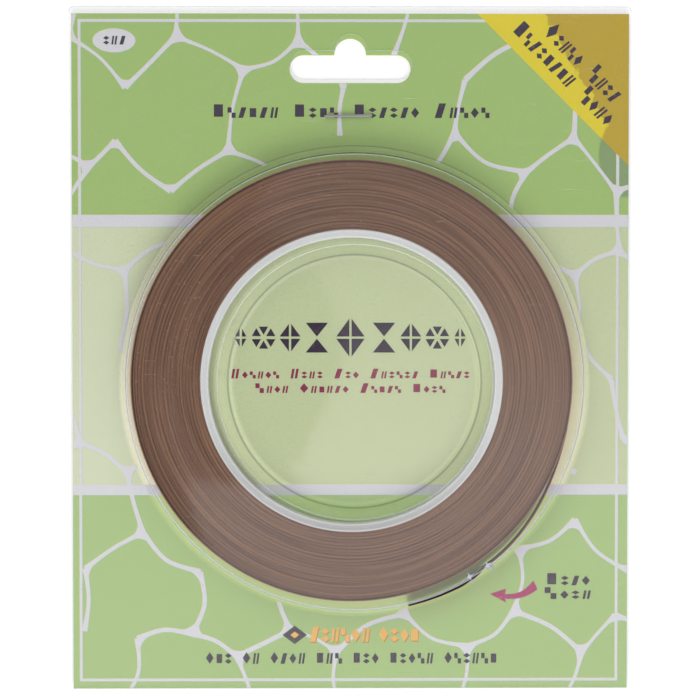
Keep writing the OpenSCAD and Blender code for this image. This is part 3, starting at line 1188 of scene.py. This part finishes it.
def lavender_shape():
    """Bands, frame line, badge and veins joined into one flat outline of triangles."""
    half = FRAME_LINE / 2
    whole = [box_polygon(-CARD_HALF_W, low, CARD_HALF_W, high) for low, high in (UPPER_BAND, LOWER_BAND)]
    whole += [box_polygon(x - half, FRAME_LOW - half, x + half, FRAME_HIGH + half)
              for x in (FRAME_LEFT, FRAME_RIGHT)]
    whole += [box_polygon(FRAME_LEFT, y - half, FRAME_RIGHT, y + half) for y in (FRAME_LOW, FRAME_HIGH)]
    whole.append(oval(-63.1, 83.3, 5.7, 3.15))
    veins = vein_polygons()
    ring_r = BEAD_R - 0.15
    ring = [(x - CARD_X, y - CARD_Y) for x, y in (polar(ring_r, 360 * i / 240) for i in range(240))]
    edge_x, edge_y = CARD_HALF_W - 0.12, CARD_HALF_H - 0.12
    hole = [(x - CARD_X, y - CARD_Y) for x, y in hang_hole_outline(grow=0.15)]

    verts, edges = [], []
    for loop in whole + veins + [ring, box_polygon(-edge_x, -edge_y, edge_x, edge_y), hole]:
        first = len(verts)
        verts += [Vector(p) for p in loop]
        edges += [(first + i, first + (i + 1) % len(loop)) for i in range(len(loop))]
    out, _, triangles, _, _, _ = delaunay_2d_cdt(verts, edges, [], 0, 1e-4)

    whole, veins = boxed(whole), boxed(veins)
    centre = Vector((BLISTER.x - CARD_X, BLISTER.y - CARD_Y))
    kept = []
    for triangle in triangles:
        middle = (out[triangle[0]] + out[triangle[1]] + out[triangle[2]]) / 3
        x, y = middle
        if abs(x) > edge_x or abs(y) > edge_y or inside(x, y, hole):
            continue
        if covered(x, y, whole) or ((middle - centre).length > ring_r and covered(x, y, veins)):
            kept.append(triangle)
    used = sorted({i for triangle in kept for i in triangle})
    number = {old: new for new, old in enumerate(used)}
    return [out[i] for i in used], [tuple(number[i] for i in triangle) for triangle in kept]


def flat_piece(name, outline, triangles, z, material, dx=0.0, dy=0.0):
    points = [(CARD_X + p[0] + dx, CARD_Y + p[1] + dy, z) for p in outline]
    return place(to_mesh(name, points, triangles, [material]), "dispenser", "card")


def build_lavender():
    """The pale print, with two thin colour fringes where its plates don't quite meet."""
    outline, triangles = lavender_shape()
    flat_piece("print_lavender", outline, triangles, LAVENDER_Z, ink("ink_lavender", LAVENDER, painted_light=False))
    flat_piece("print_fringe_warm", outline, triangles, FRINGE_Z,
               ink("ink_fringe_warm", srgb(206, 202, 120)), -0.09, 0.09)
    flat_piece("print_fringe_cool", outline, triangles, FRINGE_Z + 0.004,
               ink("ink_fringe_cool", srgb(150, 188, 178)), 0.09, -0.09)


def build_corner_flash():
    x, y = CARD_HALF_W - 0.02, CARD_HALF_H - 0.02
    corner = [(x - FLASH_LEG, y), (x, y - FLASH_LEG), (x, y)]
    flat_piece("print_corner_flash", corner, [(0, 1, 2)], CORNER_Z, ink("ink_yellow", YELLOW, corner_darkened=True))


class Marks:
    """Flat printed marks in several inks, gathered into one mesh."""

    def __init__(self, materials):
        self.materials = materials
        self.points, self.faces, self.slots = [], [], []

    def polygon(self, corners, ink_name, z=MARK_Z):
        area = sum(a[0] * b[1] - b[0] * a[1] for a, b in zip(corners, corners[1:] + corners[:1]))
        if area < 0:
            corners = corners[::-1]
        first = len(self.points)
        self.points += [(*card_point(x, y), z) for x, y in corners]
        self.faces.append(tuple(range(first, first + len(corners))))
        self.slots.append(list(self.materials).index(ink_name))

    def build(self):
        piece = to_mesh("print_marks", self.points, self.faces, list(self.materials.values()), self.slots,
                        shade_smooth=False)
        return place(piece, "dispenser", "card")


def mark_shape(kind, w, h):
    """Outlines of one abstract mark, standing on the base line, w wide and h high."""
    if kind == "lozenge":
        return [[(w / 2, 0), (w, h / 2), (w / 2, h), (0, h / 2)]]
    if kind == "pair":
        return [[(w / 2, b), (w, b + 0.23 * h), (w / 2, b + 0.46 * h), (0, b + 0.23 * h)]
                for b in (0, 0.54 * h)]
    if kind == "checker":
        return [box_polygon(0, 0.5 * h, 0.5 * w, h), box_polygon(0.5 * w, 0, w, 0.5 * h)]
    if kind == "twins":
        return [[(b, 0), (b + 0.3 * w, 0), (b + 0.5 * w, h), (b + 0.2 * w, h)] for b in (0, 0.5 * w)]
    if kind == "slant":
        return [[(0, 0), (0.6 * w, 0), (w, h), (0.4 * w, h)]]
    return [box_polygon(0.1 * w, 0.08 * h, 0.9 * w, 0.92 * h)]


KINDS = ("lozenge", "pair", "checker", "twins", "slant", "block")


def mark_row(marks, words, start, width, cap, ink_name, turn=0.0, small=0.72, slim=0.52, z=MARK_Z):
    """Rows of marks standing in for wording; words gives how many marks each group has."""
    heights = [[cap if i == 0 else cap * small for i in range(count)] for count in words]
    gap, space = 0.16, 0.6
    total = sum(h * (slim + gap) for word in heights for h in word) + (len(words) - 1) * space * cap
    total -= gap * heights[-1][-1]
    stretch = width / total
    a = math.radians(turn)
    reach, last = 0.0, None
    for word in heights:
        for h in word:
            kind = random.choice([k for k in KINDS if k != last])
            last = kind
            for outline in mark_shape(kind, h * slim * stretch, h):
                placed = []
                for x, y in outline:
                    px = reach + x
                    placed.append((start[0] + px * math.cos(a) - y * math.sin(a),
                                   start[1] + px * math.sin(a) + y * math.cos(a)))
                marks.polygon(placed, ink_name, z)
            reach += h * (slim + gap) * stretch
        reach += space * cap * stretch


def pane(marks, x, y, w, h, kind):
    """One leaded pane of the middle ornament: four coloured parts with gaps for the lead."""
    cx, cy, gap = x + w / 2, y + h / 2, 0.3
    if kind == "quartered":
        for sx, sy in ((1, 1), (-1, 1), (-1, -1), (1, -1)):
            marks.polygon([(cx + sx * gap, cy + sy * gap), (cx + sx * (w / 2 - gap), cy + sy * gap),
                           (cx + sx * gap, cy + sy * (h / 2 - gap))], "purple")
    elif kind == "rays":
        for k in range(6):
            a, b = TAU * (k + 0.12) / 6, TAU * (k + 0.88) / 6
            marks.polygon([(cx + 0.12 * w * math.cos((a + b) / 2), cy + 0.12 * h * math.sin((a + b) / 2)),
                           (cx + 0.5 * w * math.cos(a), cy + 0.5 * h * math.sin(a)),
                           (cx + 0.5 * w * math.cos(b), cy + 0.5 * h * math.sin(b))], "purple")
    else:
        marks.polygon([(x, y), (x + w, y), (cx, cy - gap)], "purple")
        marks.polygon([(x, y + h), (x + w, y + h), (cx, cy + gap)], "purple")


def middle_ornament(marks):
    """Leaded panes in a row across the recess, the same to the left and the right of the middle one."""
    middle_y = 3.95
    pane(marks, -4.1, middle_y - 5.4, 8.2, 10.8, "quartered")
    for out, w, h, kind in ((9.0, 6.0, 8.0, "glass"), (16.2, 6.2, 8.0, "quartered"), (23.3, 6.4, 6.4, "rays"),
                            (29.4, 3.6, 5.6, "quartered")):
        for side in (-1, 1):
            pane(marks, side * out - w / 2, middle_y - h / 2, w, h, kind)


def curved_arrow(marks):
    """Broad arrow sweeping down and left towards the slit."""
    top = smooth_path([(41.6, -65.2), (44.6, -64.9), (47.1, -63.7), (49.3, -61.5)], steps=4)
    under = smooth_path([(41.6, -66.4), (44.6, -66.4), (47.6, -65.6), (50.4, -63.9)], steps=4)
    shaft = list(zip(top, under))
    for (a, b), (c, d) in zip(shaft, shaft[1:]):
        marks.polygon([a, b, d, c], "pink")
    marks.polygon([(37.5, -65.1), (42.0, -67.5), (41.6, -66.4), (41.6, -65.2), (41.9, -63.7)], "pink")


def build_marks():
    marks = Marks({
        "purple": ink("ink_purple", PURPLE),
        "magenta": ink("ink_magenta", MAGENTA),
        "pink": ink("ink_pink", PINK),
        "orange": ink("ink_orange", ORANGE),
        "brown": ink("ink_brown", srgb(176, 120, 52)),
        "slate": ink("ink_slate", srgb(44, 38, 46)),
    })
    mark_row(marks, (6, 4, 6, 5), (-36.8, 62.7), 74.0, 3.9, "purple")
    middle_ornament(marks)
    mark_row(marks, (6, 4, 3, 6, 5), (-32.0, -7.0), 64.0, 2.6, "magenta")
    mark_row(marks, (4, 6, 5, 4), (-25.5, -10.9), 51.0, 2.6, "magenta")
    mark_row(marks, (5, 4), (51.4, 85.1), 26.3, 5.0, "purple", turn=-45)
    mark_row(marks, (8, 4), (43.0, 85.6), 35.7, 5.0, "purple", turn=-45)
    mark_row(marks, (4,), (52.7, -62.8), 11.8, 3.6, "purple")
    mark_row(marks, (4,), (52.3, -66.5), 12.5, 3.2, "purple")
    mark_row(marks, (3, 2, 4, 3, 3, 5, 6), (-38.9, -83.9), 78.4, 3.2, "purple", small=0.9)
    mark_row(marks, (3,), (-66.0, 82.2), 6.0, 2.3, "slate", small=1.0)
    curved_arrow(marks)
    x, y = -15.0, -76.1
    for half_w, half_h, colour, z in ((3.3, 2.5, "slate", MARK_Z), (1.2, 0.9, "orange", MARK_Z + 0.006)):
        marks.polygon([(x - half_w, y), (x, y - half_h), (x + half_w, y), (x, y + half_h)], colour, z)
    state = random.getstate()
    mark_row(marks, (6, 4), (-10.8, -78.3), 29.4, 4.2, "brown", small=0.9, slim=0.8, z=SHADOW_Z)
    random.setstate(state)
    mark_row(marks, (6, 4), (-11.0, -78.0), 29.4, 4.2, "orange", small=0.9, slim=0.8)
    marks.build()


# ---------------------------------------------------------------- build

def dress(name, material):
    """Gives a CAD node that stays visible its material."""
    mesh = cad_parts[name].data
    mesh.materials.clear()
    mesh.materials.append(material)


dress("backing_card", card_material())
dress("outer_turn_foil", COPPER)
dress("outer_turn_liner", LINER)

build_cover()
build_cut_edges()
build_stress_marks()
build_core()
build_windings()
build_strip("tape_strip_liner", 0.0, LINER_T, LINER, ("lead_liner", "tail_liner"))
build_strip("tape_strip_foil", LINER_T, FOIL_T, COPPER, ("lead_foil", "tail_foil"))
build_staple()
build_lavender()
build_corner_flash()
build_marks()


# ---------------------------------------------------------------- floor, light and camera

FLOOR_GLOW = 0.47
PANEL_GLOW = 1.08
WORLD_GLOW = 0.90
CEILING_Z = 1500


def pale_floor():
    bpy.ops.mesh.primitive_plane_add(size=6, location=(0, 0, -0.0006))
    floor = bpy.context.object
    floor.name = "floor"
    n = Nodes("pale_floor")
    vector, _, _, _ = n.position()
    tone = n.blend(n.noise(vector, 0.02, 2.0), (0.54, 0.54, 0.54, 1), (0.56, 0.56, 0.56, 1))
    glow = n.principled(tone, 0.8, Emission_Color=(1, 1, 1, 1), Emission_Strength=FLOOR_GLOW)
    floor.data.materials.append(glow)


def soft_light(name, place_at, size_x, size_y, energy):
    """Area lamp aimed at the part; it lights the part but isn't mirrored in the clear sheet."""
    light = bpy.data.lights.new(name, "AREA")
    light.shape = "RECTANGLE"
    light.size, light.size_y = size_x, size_y
    light.energy = energy
    lamp = bpy.data.objects.new(name, light)
    lamp.location = place_at
    lamp.rotation_euler = (-Vector(place_at)).to_track_quat("-Z", "Y").to_euler()
    lamp.visible_glossy = False
    bpy.context.scene.collection.objects.link(lamp)


def overhead_panel():
    """Pale ceiling, brighter towards the front, with a rounded dark gap where the camera stands."""
    rings = []
    for half_x, half_y, cx, cy in ((86, 132, -87, -52), (1300, 1300, 0, 0)):
        ring = []
        for i in range(72):
            c, s = math.cos(TAU * i / 72), math.sin(TAU * i / 72)
            ring.append((cx + half_x * math.copysign(abs(c) ** 0.77, c),
                         cy + half_y * math.copysign(abs(s) ** 0.77, s), CEILING_Z))
        rings.append(ring)
    panel = to_mesh("overhead_panel", rings[0] + rings[1], grid_faces(2, 72, closed_columns=True))
    n = Nodes("panel_glow")
    _, _, y, _ = n.position()
    behind = n.times(n.step(y, -50.0, 200.0), 0.62)
    level = n.times(n.rest(behind), PANEL_GLOW)
    glow = n.add("Emission", Color=(0.96, 0.92, 0.92, 1), Strength=level)
    panel.data.materials.append(n.surface(glow.outputs[0]))
    panel.visible_camera = False


def pale_world():
    """Pale surroundings that fall to near black straight overhead, where the camera stands."""
    world = bpy.data.worlds.new("pale_world")
    bpy.context.scene.world = world
    world.use_nodes = True
    tree = world.node_tree
    split = tree.nodes.new("ShaderNodeSeparateXYZ")
    tree.links.new(tree.nodes.new("ShaderNodeTexCoord").outputs["Generated"], split.inputs[0])
    fall = tree.nodes.new("ShaderNodeValToRGB")
    steps = fall.color_ramp
    steps.interpolation = "EASE"
    steps.elements[0].position, steps.elements[1].position = 0.45, 0.93
    for element, level in zip(steps.elements, (0.82, 0.04)):
        element.color = (level, level, level, 1)
    middle = steps.elements.new(0.80)
    middle.color = (0.35, 0.35, 0.35, 1)
    tree.links.new(split.outputs[2], fall.inputs[0])
    tree.links.new(fall.outputs[0], tree.nodes["Background"].inputs["Color"])
    tree.nodes["Background"].inputs["Strength"].default_value = WORLD_GLOW


pale_floor()
overhead_panel()
soft_light("key", (0.15, -1.1, 1.0), 1.2, 0.8, 14.2)
soft_light("fill", (-0.5, 0.9, 1.2), 1.2, 1.2, 9.5)

pale_world()
bpy.context.scene.view_settings.view_transform = "Standard"

VIEW_TILT = 1.75
VIEW_PAN = -0.59
VIEW_DISTANCE = 0.605
camera = bpy.data.objects.new("camera", bpy.data.cameras.new("camera"))
camera.data.lens = 116
target = Vector((CARD_X - 0.12, CARD_Y + 0.63, CARD_TOP)) * MM
tilt, pan = math.radians(VIEW_TILT), math.radians(VIEW_PAN)
outlook = Vector((math.sin(pan), math.sin(tilt) * math.cos(pan), math.cos(tilt) * math.cos(pan)))
camera.location = target + VIEW_DISTANCE * outlook
camera.rotation_euler = (-tilt, pan, 0)
bpy.context.scene.collection.objects.link(camera)
bpy.context.scene.camera = camera
